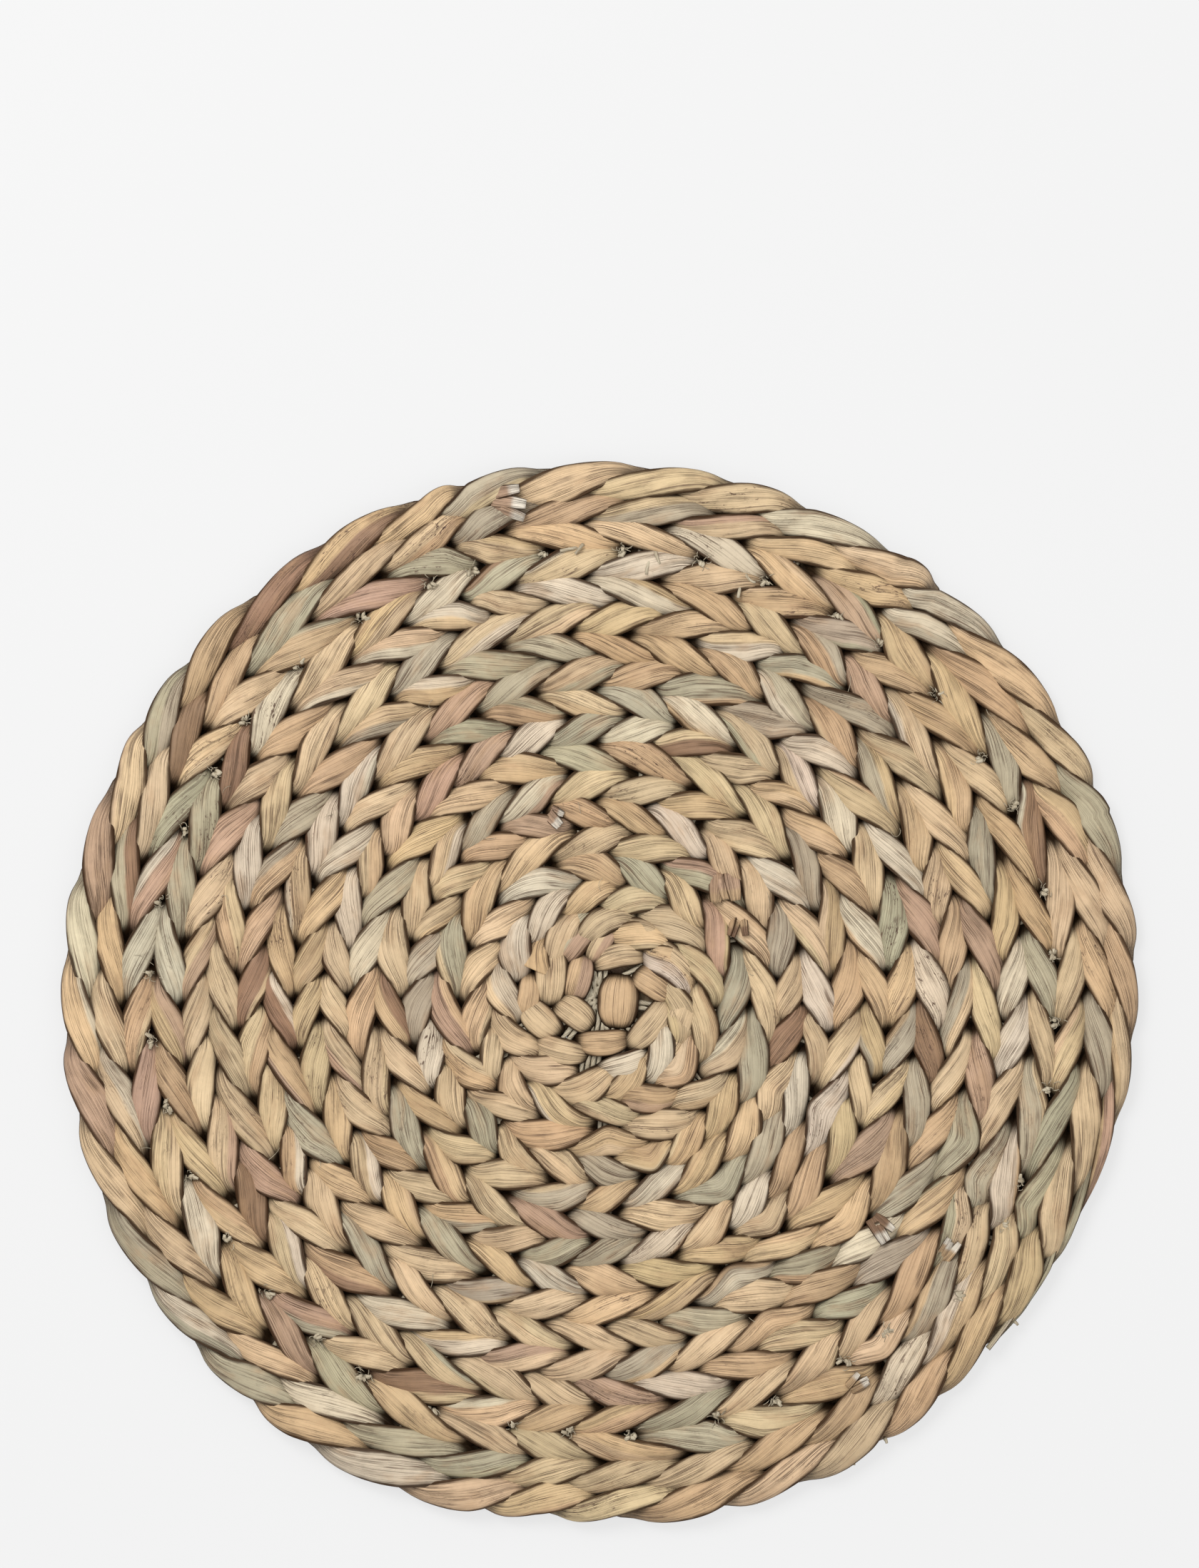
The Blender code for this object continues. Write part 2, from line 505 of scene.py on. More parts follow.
@dataclass(frozen=True)
class StemFinish:
    """Dried, flattened water hyacinth: papery, with creases that run together at a leaf's tips; its colour
    also holds painted shade in the creases, at the seams between leaves and down in the grooves.
    """

    roughness: float = 0.58
    crease_count: float = 13.0
    grain_count: float = 70.0
    crease_depth: float = 0.00032
    spot: Colour = (0.085, 0.040, 0.022)
    # Painted shade in the fine creases along a leaf.
    crease_shade: Colour = (0.088, 0.044, 0.020)
    # Painted shade along a leaf's edges, where it meets the next.
    edge_shade_colour: Colour = (0.040, 0.019, 0.009)
    # Painted shade down in the grooves between leaves and rows.
    groove: Colour = (0.022, 0.011, 0.005)
    rust: Colour = (0.380, 0.230, 0.120)
    gloss: float = 0.42
    # The painted groove shade is darkest at this height and stops at this radius, at the rim.
    middle_height: float = 0.0045
    rim_radius: float = 0.1825

    def material(self) -> bpy.types.Material:
        """Makes the finish, which reads the stem's own map and values.

        Returns:
            The material.
        """
        s = Shader("flattened_stem", Tone.STRAW.value, self.roughness)
        uv = s.split(s.node("ShaderNodeUVMap", uv_map="UVMap").outputs[0])
        seed = s.attribute("seed")
        across = s.math("MULTIPLY_ADD", uv[0], 2.0, -1.0)
        edge = s.math("ABSOLUTE", across)
        crossing = s.attribute("crossing")

        def along(count: float, length: float) -> Socket:
            """A place on the stem, with count steps across it and one step every length metres."""
            return s.combine(s.times(uv[0], count), s.math("DIVIDE", uv[1], length), seed)

        pleats = s.noise(along(7.0, 0.050), 1.0, 2.0)
        creases = s.noise(along(self.crease_count, 0.075), 1.0, 1.0)
        threads = s.noise(along(self.crease_count * 2.3, 0.060), 1.0, 1.0)
        fine = s.noise(along(self.grain_count, 0.016), 1.0, 2.0, 0.6)
        wander = s.noise(along(3.0, 0.012), 1.0, 2.0)
        place = s.node("ShaderNodeTexCoord").outputs["Object"]
        mottle = s.noise(place, 420.0, 3.0, 0.6)

        side = s.math("SUBTRACT", s.math("MULTIPLY_ADD", wander, 0.5, across), s.attribute("seam"))
        tint, second = s.attribute("tint", "Color"), s.attribute("second", "Color")
        colour = s.mixed(s.eased(side, 0.15, 0.42), tint, second)

        # Painted shade in the fine creases: dark lines, denser towards a leaf's tips.
        line = s.eased(s.math("ABSOLUTE", s.math("SUBTRACT", creases, 0.5)), 0.006, 0.030, 1.0, 0.0)
        hair = s.eased(s.math("ABSOLUTE", s.math("SUBTRACT", threads, 0.5)), 0.010, 0.055, 1.0, 0.0)
        gather = s.math("MULTIPLY_ADD", crossing, 0.30, wander)
        crease_shade_mask = s.times(line, s.eased(gather, 0.38, 0.66, 0.30, 1.0))
        crease_shade_mask = s.math("MAXIMUM", crease_shade_mask, s.times(hair, s.eased(gather, 0.40, 0.72, 0.06, 0.62)))
        tone = s.math("MULTIPLY_ADD", pleats, 0.22, 0.89)
        tone = s.times(tone, s.math("MULTIPLY_ADD", fine, 0.38, 0.81))
        tone = s.times(tone, s.math("MULTIPLY_ADD", mottle, 0.28, 0.86))
        # Painted shade: darker towards a leaf's sides, where it curves down, and towards its tips, where it
        # dives under the next leaf.
        tone = s.times(tone, s.eased(edge, 0.55, 1.0, 1.0, 0.80))
        tone = s.times(tone, s.eased(crossing, 0.40, 1.0, 1.0, 0.48))
        rusty = s.eased(s.noise(along(1.6, 0.020), 1.0, 3.0, 0.6), 0.50, 0.72, 0.0, 0.50)
        colour = s.scaled(s.mixed(rusty, colour, (*self.rust, 1.0)), tone)
        colour = s.mixed(s.times(crease_shade_mask, 0.84), colour, (*self.crease_shade, 1.0))

        # Painted shade along a leaf's edges: the dark seams between leaves.
        edge_shade = s.times(s.eased(s.math("MULTIPLY_ADD", wander, 0.3, edge), 0.92, 1.10), 0.92)
        colour = s.mixed(edge_shade, colour, (*self.edge_shade_colour, 1.0))
        flecks = s.eased(s.noise(along(16.0, 0.0022), 1.0, 3.0, 0.65), 0.56, 0.63)
        patches = s.eased(s.noise(along(2.5, 0.012), 1.0, 1.0), 0.44, 0.62)
        spots = s.math("MULTIPLY", s.times(flecks, patches), s.attribute("spots"), clamp=True)
        colour = s.mixed(spots, colour, (*self.spot, 1.0))

        # Painted shade down in the grooves: the nearer halfway up the mat, the darker, except at the rim.
        height = s.math("ABSOLUTE", s.math("SUBTRACT", s.split(place)[2], self.middle_height))
        level = s.node("ShaderNodeVectorMath", operation="LENGTH")
        s.feed(level.inputs[0], s.combine(s.split(place)[0], s.split(place)[1], 0.0))
        inside = s.eased(level.outputs["Value"], self.rim_radius - 0.004, self.rim_radius, 1.0, 0.0)
        depth = s.times(s.eased(height, 0.0008, 0.0034, 0.95, 0.0), inside)
        s.feed(s.surface.inputs["Base Color"], s.mixed(depth, colour, (*self.groove, 1.0)))
        # Less gloss where shade is painted.
        open_share = s.math("SUBTRACT", 1.0, s.math("MAXIMUM", depth, edge_shade))
        s.feed(s.surface.inputs["Specular IOR Level"], s.times(open_share, self.gloss))
        s.feed(s.surface.inputs["Roughness"], s.math("MULTIPLY_ADD", fine, 0.24, self.roughness - 0.12))
        relief = s.math("MULTIPLY_ADD", fine, 0.30, s.times(pleats, 0.5))
        relief = s.math("SUBTRACT", relief, s.times(crease_shade_mask, 0.75))
        s.bumped(relief, self.crease_depth, 0.9)
        return s.material


@dataclass(frozen=True)
class CordFinish:
    """Thin cord of two plies, grey beige with a green cast."""

    light: Colour = (0.56, 0.49, 0.36)
    dark: Colour = (0.26, 0.205, 0.13)
    roughness: float = 0.75

    def material(self) -> bpy.types.Material:
        """Makes the finish, with fine strands along the plies.

        Returns:
            The material.
        """
        s = Shader("spoke_cord", self.light, self.roughness)
        uv = s.split(s.node("ShaderNodeUVMap", uv_map="UVMap").outputs[0])
        strands = s.noise(
            s.combine(s.times(uv[0], 14.0), s.times(uv[1], 90.0), s.attribute("seed")), 1.0, 2.0
        )
        patches = s.noise(s.node("ShaderNodeTexCoord").outputs["Object"], 260.0, 2.0)
        share = s.math("ADD", s.times(strands, 0.9), s.times(patches, 0.35))
        s.feed(
            s.surface.inputs["Base Color"],
            s.mixed(s.eased(share, 0.38, 0.86), (*self.dark, 1.0), (*self.light, 1.0)),
        )
        s.bumped(strands, 0.00025, 0.8)
        return s.material


@dataclass(frozen=True)
class RowPlan:
    """One turn of the spiral, from where the twist turns round to where it does so again."""

    spokes: int
    lean: Lean


@dataclass
class Spiral:
    """The path of the twining, and where its spokes are. Turns count inward from a full row at the rim."""

    edge_radius: float = 0.1875
    pitch: float = 0.0097
    centre: tuple[float, float] = (-0.00074, -0.00186)
    start_degrees: float = 20.0
    fault_degrees: float = 318.0
    full_turns: float = 16.30
    mid_height: float = 0.0045
    jitter: float = 0.10
    seed: int = 11
    # Spokes crossed by each row, from the rim inwards.
    spoke_counts: tuple[int, ...] = (40,) * 5 + (36,) * 2 + (32,) * 3 + (24,) * 3 + (16,) * 2 + (13, 11, 9, 6)
    rim_rows: int = 2
    core_rows: int = 4
    # How far the rim stands out of the even spiral, in millimetres, at angles from the path's start.
    swell_degrees: tuple[float, ...] = (0, 32, 70, 105, 140, 185, 228, 243, 278, 292, 330, 360)
    swell_mm: tuple[float, ...] = (-1.0, -1.9, -1.6, -1.5, 0.4, 2.4, 2.4, -1.6, 3.0, 2.0, 1.2, -1.0)

    def __post_init__(self) -> None:
        """Works out the rows and the places of the spokes."""
        rng = np.random.default_rng(self.seed)
        self.rows = [RowPlan(count, self.lean_of(row)) for row, count in enumerate(self.spoke_counts)]
        self.first_turn = (self.fault_degrees - 360 - self.start_degrees) / 360
        counts = set(self.spoke_counts)
        nudges = {count: rng.normal(0, self.jitter, count).clip(-0.2, 0.2) for count in counts}
        knots = [self.first_turn]
        for row, plan in enumerate(self.rows):
            own = rng.normal(0, self.jitter * 0.45, plan.spokes).clip(-0.12, 0.12)
            for spoke in range(1, plan.spokes + 1):
                nudge = 0.0 if spoke == plan.spokes else nudges[plan.spokes][spoke] + own[spoke]
                knots.append(self.first_turn + row + (spoke + nudge) / plan.spokes)
        self.knots = np.array(knots)
        self.row_starts = np.cumsum([0, *self.spoke_counts])
        stray = rng.integers(-2, 3, len(self.rows) + 1) * (np.arange(len(self.rows) + 1) < 15)
        self.lean_starts = self.row_starts + np.where(np.arange(len(stray)) > 0, stray, 0)
        self.last_spoke = int(np.searchsorted(self.knots, self.full_turns))

    def lean_of(self, row: int) -> Lean:
        """The twist of a row: the same in the rim's and the core's rows, and taking turns between them.

        Args:
            row: the row's number, from the rim inwards.

        Returns:
            Which way its leaves lean.
        """
        if row < self.rim_rows or row >= len(self.spoke_counts) - self.core_rows:
            return Lean.OUTER_FIRST
        return Lean.OUTER_LAST if (row - self.rim_rows) % 2 == 0 else Lean.OUTER_FIRST

    def turns_at(self, spoke: np.ndarray) -> np.ndarray:
        """The path's turns at a place counted in spokes."""
        return np.interp(spoke, np.arange(len(self.knots)), self.knots)

    def degrees(self, turns: np.ndarray) -> np.ndarray:
        """The angle of a place on the path, anticlockwise from +X."""
        return self.start_degrees + 360 * turns

    def fullness(self, turns: np.ndarray) -> np.ndarray:
        """A row's width as a share of the pitch: it thins out over the last stretch of the path."""
        return 0.16 + 0.84 * smoothstep((turns - self.first_turn) / -self.first_turn)

    def swell(self, turns: np.ndarray) -> np.ndarray:
        """How far the path stands out of the even spiral."""
        near_rim = (1 - turns / self.full_turns).clip(0, 1) ** 3.5
        return np.interp(360 * turns % 360, self.swell_degrees, self.swell_mm) * MM * near_rim

    def radius(self, turns: np.ndarray) -> np.ndarray:
        """The path's distance from the middle.

        Args:
            turns: places on the path.

        Returns:
            The distance of each.
        """
        whole = self.edge_radius - self.pitch * (turns + 0.5)
        thin = self.edge_radius - self.pitch * (turns + 1) + self.pitch * 0.42 * self.fullness(turns)
        return np.where(turns < 0, thin, whole) + self.swell(turns)

    def outward(self, degrees: np.ndarray) -> np.ndarray:
        """The level direction away from the middle at these angles."""
        angle = np.radians(degrees)
        return np.stack([np.cos(angle), np.sin(angle), np.zeros_like(angle)], axis=-1)

    def place(self, turns: np.ndarray) -> np.ndarray:
        """Points of the path, halfway up the mat."""
        middle = np.array((*self.centre, self.mid_height))
        return middle + self.outward(self.degrees(turns)) * self.radius(turns)[..., None]

    def leans(self, spoke: np.ndarray) -> np.ndarray:
        """The twist, as 1 or -1, at places counted in spokes."""
        row = np.clip(np.searchsorted(self.lean_starts, spoke, side="right") - 1, 0, len(self.rows) - 1)
        return np.array([plan.lean.value for plan in self.rows])[row]


@dataclass(frozen=True)
class ToneShares:
    """How common each tone is among the leaves of a zone."""

    straw: float
    pale: float
    gold: float
    tan: float
    green: float
    grey: float
    pink: float
    brown: float

    def weights(self) -> np.ndarray:
        """The shares in the order of the tones, adding up to 1."""
        given = np.array([getattr(self, tone.name.lower(), 0.0) for tone in Tone])
        return given / given.sum()


@dataclass
class Weavers:
    """The two flattened stems, twined round the spokes."""

    spiral: Spiral
    seed: int = 5
    face_steps: int = 24  # along a leaf on the good side
    back_steps: int = 14  # and on the underside
    face_points: int = 12  # across the side that faces outward
    back_points: int = 6  # and across the side that faces the spokes
    leaf_half_width: float = 0.0058
    tip_half_width: float = 0.0023
    under_half_width: float = 0.0046
    leaf_half_depth: float = 0.0013
    tip_half_depth: float = 0.0015
    climb: float = 0.0031  # from halfway up the mat to a leaf's middle
    sway: float = 0.0040  # from the row's middle to a leaf's tips
    tilt: float = 0.56  # how far a leaf's tips lean over, in radians
    tip_place: float = 0.69  # where a leaf's tips are, in spokes from its middle
    hold: float = 2.25  # how long a leaf stays up before it dives
    split_row: int = 6  # where the outer pieces end and the inner ones start
    squareness: float = 0.72  # of the section: 1 is round, and less is squarer
    wrap: float = 34.0  # its sides drop by this times the square of their distance, in metres
    fold_depth: float = 0.00055
    folds_across: float = 2.6
    fold_length: float = 0.045
    field_tones: ToneShares = ToneShares(0.34, 0.13, 0.14, 0.12, 0.12, 0.07, 0.06, 0.02)
    core_tones: ToneShares = ToneShares(0.54, 0.16, 0.11, 0.13, 0.02, 0.01, 0.03, 0.0)
    core_radius: float = 0.055  # within it the leaves have the core's tones
    plain_share: float = 0.62  # of the leaves have one tone
    spotted_share: float = 0.13  # and are dark with spots
    keep: tuple[str, ...] = ("position", "UVMap", "tint", "second", "seam", "spots", "seed", "crossing")

    def builder(self, material: bpy.types.Material) -> Builder:
        """The tree that skins a stem's guide.

        Args:
            material: the stem's finish.

        Returns:
            The tree, ready to run on guides.
        """
        b = Builder(
            "flattened_stem",
            {
                "Face Points": ("Int", self.face_points),
                "Back Points": ("Int", self.back_points),
                "Squareness": ("Float", self.squareness),
                "Wrap": ("Float", self.wrap),
                "Fold Depth": ("Float", self.fold_depth),
                "Folds Across": ("Float", self.folds_across),
                "Fold Length": ("Float", self.fold_length),
                "Rest Height": ("Float", 0.0),
                "Material": ("Material", material),
            },
        )
        index = b.node("GeometryNodeInputIndex").outputs[0]
        on_face = b.math("DIVIDE", b.math("MINIMUM", index, b.given["Face Points"]), b.given["Face Points"])
        past = b.math("MAXIMUM", b.math("SUBTRACT", index, b.given["Face Points"]), 0.0)
        around = b.math("ADD", on_face, b.math("DIVIDE", past, b.given["Back Points"]))
        points = b.math("ADD", b.given["Face Points"], b.given["Back Points"])
        turned = b.node("GeometryNodeFlipFaces")
        b.feed(turned.inputs["Mesh"], b.skin(points, b.times(around, math.pi)))

        def squared(value: Socket) -> Socket:
            """Makes a cosine or sine squarer, so that the section is a rounded slab."""
            size = b.math("POWER", b.math("ABSOLUTE", value), b.given["Squareness"])
            return b.times(b.math("SIGN", value), size)

        angle = b.attribute("around")
        across = squared(b.math("COSINE", angle))
        rise = squared(b.math("SINE", angle))
        along = b.attribute("along")
        ridges = b.noise(
            b.combine(
                b.times(across, b.given["Folds Across"]),
                b.math("DIVIDE", along, b.given["Fold Length"]),
                b.attribute("seed"),
            ),
            1.0,
            2.0,
        )
        u = b.times(b.attribute("half_width"), across)
        inside = b.math("SUBTRACT", 1.0, b.math("POWER", b.math("ABSOLUTE", across), 4.0))
        fold = b.times(b.math("SUBTRACT", ridges, 0.5), b.times(inside, b.given["Fold Depth"]))
        fold = b.times(fold, b.attribute("folds"), b.math("MAXIMUM", rise, 0.0))
        v = b.math("MULTIPLY_ADD", b.attribute("half_depth"), rise, b.times(fold, 2.0))
        v = b.math("SUBTRACT", v, b.times(b.given["Wrap"], b.times(u, u)))
        sine, cosine = b.math("SINE", b.attribute("roll")), b.math("COSINE", b.attribute("roll"))
        side = b.math("MULTIPLY_ADD", v, sine, b.times(u, cosine))
        lift = b.math("SUBTRACT", b.times(v, cosine), b.times(u, sine))
        outward = b.attribute("outward", "FLOAT_VECTOR")
        axis = b.attribute("axis", "FLOAT_VECTOR")
        xyz = b.split(b.added(axis, b.scaled(outward, side), b.combine(0.0, 0.0, lift)))
        place = b.combine(xyz[0], xyz[1], b.math("MAXIMUM", xyz[2], b.given["Rest Height"]))
        uv = b.combine(b.math("MULTIPLY_ADD", across, 0.5, 0.5), along, 0.0)
        b.close(b.stored(b.moved(turned.outputs[0], place), "UVMap", uv, "FLOAT2", "CORNER"))
        return b

    def leaf_values(self, rng: np.random.Generator, middle: float, spread: float, limit: float) -> np.ndarray:
        """A value for each half turn of a stem.

        Args:
            rng: the stem's own random numbers.
            middle: the mean.
            spread: the standard deviation.
            limit: the furthest that a value may be from the mean.

        Returns:
            One value for each spoke that the stem passes, over or under.
        """
        count = len(self.spiral.knots) + 2
        return middle + rng.normal(0, spread, count).clip(-limit, limit)

    def tones(self, rng: np.random.Generator, radii: np.ndarray) -> np.ndarray:
        """A colour for each leaf.

        Args:
            rng: the stem's own random numbers.
            radii: each leaf's distance from the middle.

        Returns:
            Linear colours, one row a leaf.
        """
        palette = np.array([tone.value for tone in Tone])
        field_pick = rng.choice(len(palette), len(radii), p=self.field_tones.weights())
        core_pick = rng.choice(len(palette), len(radii), p=self.core_tones.weights())
        picked = palette[np.where(radii < self.core_radius, core_pick, field_pick)]
        light = rng.normal(0.99, 0.055, (len(radii), 1)).clip(0.84, 1.10)
        cast = rng.normal(1.0, 0.018, (len(radii), 3))
        return picked * light * cast

    def stem(self, weaver: Weaver) -> dict[str, np.ndarray]:
        """Works out one stem from the rim to the middle.

        Args:
            weaver: which of the two stems.

        Returns:
            The guide's values at every step, with spoke for the place counted in spokes.
        """
        spiral, rng = self.spiral, np.random.default_rng((self.seed, weaver.value))
        steps = [np.zeros(1)]
        for spoke in range(spiral.last_spoke + 1):
            over = spoke % 2 == weaver.value
            count = self.face_steps if over else self.back_steps
            steps.append(spoke + np.arange(count) / count - 0.5)
        spoke = np.unique(np.concatenate(steps).round(6))
        spoke = spoke[(spoke >= 0) & (spoke <= spiral.last_spoke)]
        turns = spiral.turns_at(spoke)

        def along_stem(values: np.ndarray) -> np.ndarray:
            """Half turn values, eased from one spoke to the next."""
            low = np.floor(spoke).astype(int)
            share = smoothstep(spoke - low)
            return values[low] * (1 - share) + values[low + 1] * share

        leaf_place = (spoke - weaver.value) / 2
        low = np.floor(leaf_place).astype(int)
        share = smoothstep((leaf_place - low - 0.38) / 0.24)

        def per_leaf(values: np.ndarray) -> np.ndarray:
            """Values of the leaves on the good side, changing where the stem is underneath."""
            part = share if values.ndim == 1 else share[:, None]
            return values[low] * (1 - part) + values[low + 1] * part

        leaves = len(spiral.knots) // 2 + 3
        knots = np.minimum(np.arange(leaves) * 2 + weaver.value, len(spiral.knots) - 1)
        radii = spiral.radius(spiral.knots[knots])
        tint, second = self.tones(rng, radii), self.tones(rng, radii)
        plain = rng.random(leaves) < self.plain_share
        seam = np.where(plain, NO_SEAM, rng.uniform(-0.75, 0.75, leaves))
        spotted = rng.random(leaves)
        few = np.where(spotted < 0.5, 0.30, 0.12)
        spots = np.where(spotted < self.spotted_share, rng.uniform(0.5, 1.0, leaves), few)

        signed = (spoke - weaver.value + 1) % 2 - 1
        apart = np.abs(signed)
        ramp = np.where(apart < self.tip_place, apart / self.tip_place, (1 - apart) / (1 - self.tip_place))
        aside = -spiral.leans(spoke) * np.sign(signed) * 1.5 * ramp * (1 - ramp**2 / 3)
        kernel = np.hanning(11)[1:-1]
        aside = np.convolve(np.pad(aside, 4, "edge"), kernel / kernel.sum(), "valid")
        flat = np.clip(1 - (apart / 0.82) ** 2, 0, 1)
        under = smoothstep((apart - 0.70) / 0.30)
        thin = np.where(turns < 0, spiral.fullness(turns), 1.0)
        core = 1 + 0.08 * smoothstep((turns - 13) / 3)
        width = along_stem(self.leaf_values(rng, 1.0, 0.09, 0.18)) * thin * core
        depth = along_stem(self.leaf_values(rng, 1.0, 0.12, 0.25)) * (0.4 + 0.6 * thin)
        shift = along_stem(self.leaf_values(rng, 0.0, 0.0005, 0.0010)) * flat
        lift = along_stem(self.leaf_values(rng, 0.0, 0.0003, 0.0006)) * flat
        roll = along_stem(self.leaf_values(rng, 0.0, 0.09, 0.2)) * flat
        outward = spiral.outward(spiral.degrees(turns))
        rise = self.climb * np.cos(math.pi * apart**self.hold) * (0.45 + 0.55 * thin) + lift
        sideways = outward * (self.sway * aside * thin + shift)[:, None]
        axis = spiral.place(turns) + sideways + UP * rise[:, None]
        length = np.linalg.norm(np.diff(axis, axis=0), axis=1)
        return {
            "spoke": spoke,
            "axis": axis,
            "outward": outward,
            "roll": self.tilt * aside + roll,
            "half_width": width * (
                self.tip_half_width
                + (self.leaf_half_width - self.tip_half_width) * flat
                + (self.under_half_width - self.tip_half_width) * under
            ),
            "half_depth": (self.tip_half_depth + (self.leaf_half_depth - self.tip_half_depth) * flat) * depth,
            "along": np.concatenate([[0.0], np.cumsum(length)]),
            "folds": along_stem(self.leaf_values(rng, 1.0, 0.5, 0.9)),
            "crossing": 1 - flat,
            "seed": per_leaf(rng.uniform(0, 40, leaves)),
            "seam": per_leaf(seam),
            "spots": per_leaf(spots),
            "tint": with_alpha(per_leaf(tint)),
            "second": with_alpha(per_leaf(second)),
        }

    def build(self, material: bpy.types.Material) -> list[bpy.types.Object]:
        """Makes the stems, each in an outer and an inner stretch.

        Args:
            material: the stems' finish.

        Returns:
            The four pieces.
        """
        tree, pieces = self.builder(material), []
        for weaver in Weaver:
            stem = self.stem(weaver)
            spoke = stem.pop("spoke")
            cut = self.spiral.row_starts[self.split_row]
            cut += int((cut + weaver.value) % 2 == 0)  # where the stem is underneath
            for zone, within in (("outer", spoke <= cut), ("inner", spoke >= cut)):
                guide = Guide()
                guide.add(**{name: rows[within] for name, rows in stem.items()})
                pieces.append(tree.grow(f"{weaver.name.lower()}_weaver_{zone}", guide, self.keep))
        return pieces


@dataclass
class Spokes:
    """The cords that the stems are twined round, with their turns at the rim."""

    spiral: Spiral
    cord_radius: float = 0.00088
    gap: float = 0.0019  # from one cord of a spoke to its neighbour
    step: float = 0.0016
    sides: int = 8
    inner_radius: float = 0.0004
    core_reach: float = 0.052  # how far out the middle's extra cords run
    ply_depth: float = 0.20  # of the groove between the plies, as a share of the radius
    lay: float = 0.0052  # along the cord, from one ply to the next
    seed: int = 23
    keep: tuple[str, ...] = ("position", "UVMap", "seed")

    def builder(self, material: bpy.types.Material) -> Builder:
        """The tree that skins a cord with two twisted plies.

        Args:
            material: the cord's finish.

        Returns:
            The tree, ready to run on guides.
        """
        b = Builder(
            "two_ply_cord",
            {
                "Sides": ("Int", self.sides),
                "Ply Depth": ("Float", self.ply_depth),
                "Lay": ("Float", self.lay),
                "Material": ("Material", material),
            },
        )
        index = b.node("GeometryNodeInputIndex").outputs[0]
        around = b.math("DIVIDE", b.times(index, math.tau), b.given["Sides"])
        skin = b.skin(b.given["Sides"], around)
        along = b.attribute("along")
        lay = b.times(b.math("DIVIDE", along, b.given["Lay"]), math.pi)
        laid = b.math("SUBTRACT", b.attribute("around"), lay)
        plies = b.times(b.math("ABSOLUTE", b.math("COSINE", laid)), b.given["Ply Depth"])
        core = b.math("SUBTRACT", 1.0, b.given["Ply Depth"])
        thick = b.times(b.attribute("thick"), b.math("ADD", core, plies))
        axis = b.attribute("axis", "FLOAT_VECTOR")
        offset = b.node("ShaderNodeVectorMath", operation="SUBTRACT")
        b.feed(offset.inputs[0], b.node("GeometryNodeInputPosition").outputs[0])
        b.feed(offset.inputs[1], axis)
        place = b.added(axis, b.scaled(offset.outputs[0], thick))
        uv = b.combine(b.math("DIVIDE", laid, math.tau), along, 0.0)
        b.close(b.stored(b.moved(skin, place), "UVMap", uv, "FLOAT2", "CORNER"))
        return b

    def crossings(self, index: int) -> tuple[np.ndarray, np.ndarray]:
        """Where a spoke passes each row.

        Args:
            index: the spoke's number at the rim.

        Returns:
            The distances from the middle, falling, and the angles in degrees.
        """
        spiral, radii, angles = self.spiral, [], []
        share = index / spiral.spoke_counts[0]
        for row, count in enumerate(spiral.spoke_counts):
            knot = spiral.row_starts[row] + round(share * count)
            turns = spiral.knots[knot]
            if turns > spiral.full_turns:
                break
            radii.append(float(spiral.radius(np.array(turns))))
            angles.append(float(spiral.degrees(np.array(turns))) - 360 * row)
        return np.array(radii), np.array(angles)

    def run(self, index: int, side: float, inner: float, outer: float) -> np.ndarray:
        """One cord's points from its inner end to its outer end.

        Args:
            index: the spoke's number at the rim.
            side: how far it lies to the side of the spoke's middle.
            inner: its inner end's distance from the middle.
            outer: its outer end's distance from the middle.

        Returns:
            The points, halfway up the mat.
        """
        radii, angles = self.crossings(index)
        reach = np.arange(inner, outer, self.step)
        angle = np.interp(reach, radii[::-1], angles[::-1])
        outward = self.spiral.outward(angle)
        sideways = np.cross(UP, outward)
        middle = np.array((*self.spiral.centre, self.spiral.mid_height))
        return middle + outward * reach[:, None] + sideways * side

    def loop(self, index: int, bulge: float) -> np.ndarray:
        """A spoke's two cords and the turn that joins them at the rim.

        Args:
            index: the spoke's number at the rim.
            bulge: how far the turn stands out past the row.

        Returns:
            The points, as one chain.
        """
        radii, _ = self.crossings(index)
        radii = radii[int(self.spiral.fullness(self.spiral.knots[index]) < 0.9) :]
        inner = self.inner_end(index)
        ends = [self.run(index, side * self.gap / 2, inner, radii[0] + bulge) for side in (-1, 1)]
        turn = (ends[0][-1] + ends[1][-1]) / 2
        tip = turn + (ends[0][-1] - ends[0][-2]) / self.step * self.gap / 2
        return np.vstack([ends[0], tip, ends[1][::-1]])

    def inner_end(self, index: int) -> float:
        """How far in a spoke reaches: those that the maker added later start further out.

        Args:
            index: the spoke's number at the rim.

        Returns:
            Its inner end's distance from the middle.
        """
        spiral, reach = self.spiral, self.inner_radius
        for row, count in reversed(list(enumerate(spiral.spoke_counts))):
            kept = {math.ceil(i * spiral.spoke_counts[0] / count) for i in range(count)}
            if index in kept:
                return reach
            reach = float(spiral.radius(np.array(spiral.first_turn + row)))
        return reach

    def build(self, material: bpy.types.Material) -> bpy.types.Object:
        """Makes every spoke.

        Args:
            material: the cords' finish.

        Returns:
            The one piece that holds them.
        """
        rng, guide = np.random.default_rng(self.seed), Guide()
        chains = [self.loop(i, rng.uniform(0.0, 0.0016)) for i in range(self.spiral.spoke_counts[0])]
        core = [i for i in range(self.spiral.spoke_counts[0]) if self.inner_end(i) == self.inner_radius]
        for i in core:
            for side in (-1.5, 1.5):
                chains.append(self.run(i, side * self.gap, self.inner_radius, self.core_reach))
        for points in chains:
            length = np.linalg.norm(np.diff(points, axis=0), axis=1)
            ones = np.ones(len(points))
            guide.add(
                axis=points,
                along=np.concatenate([[0.0], np.cumsum(length)]),
                thick=ones * self.cord_radius,
                seed=ones * rng.uniform(0, 40),
            )
        return self.builder(material).grow("spoke_cords", guide, self.keep)


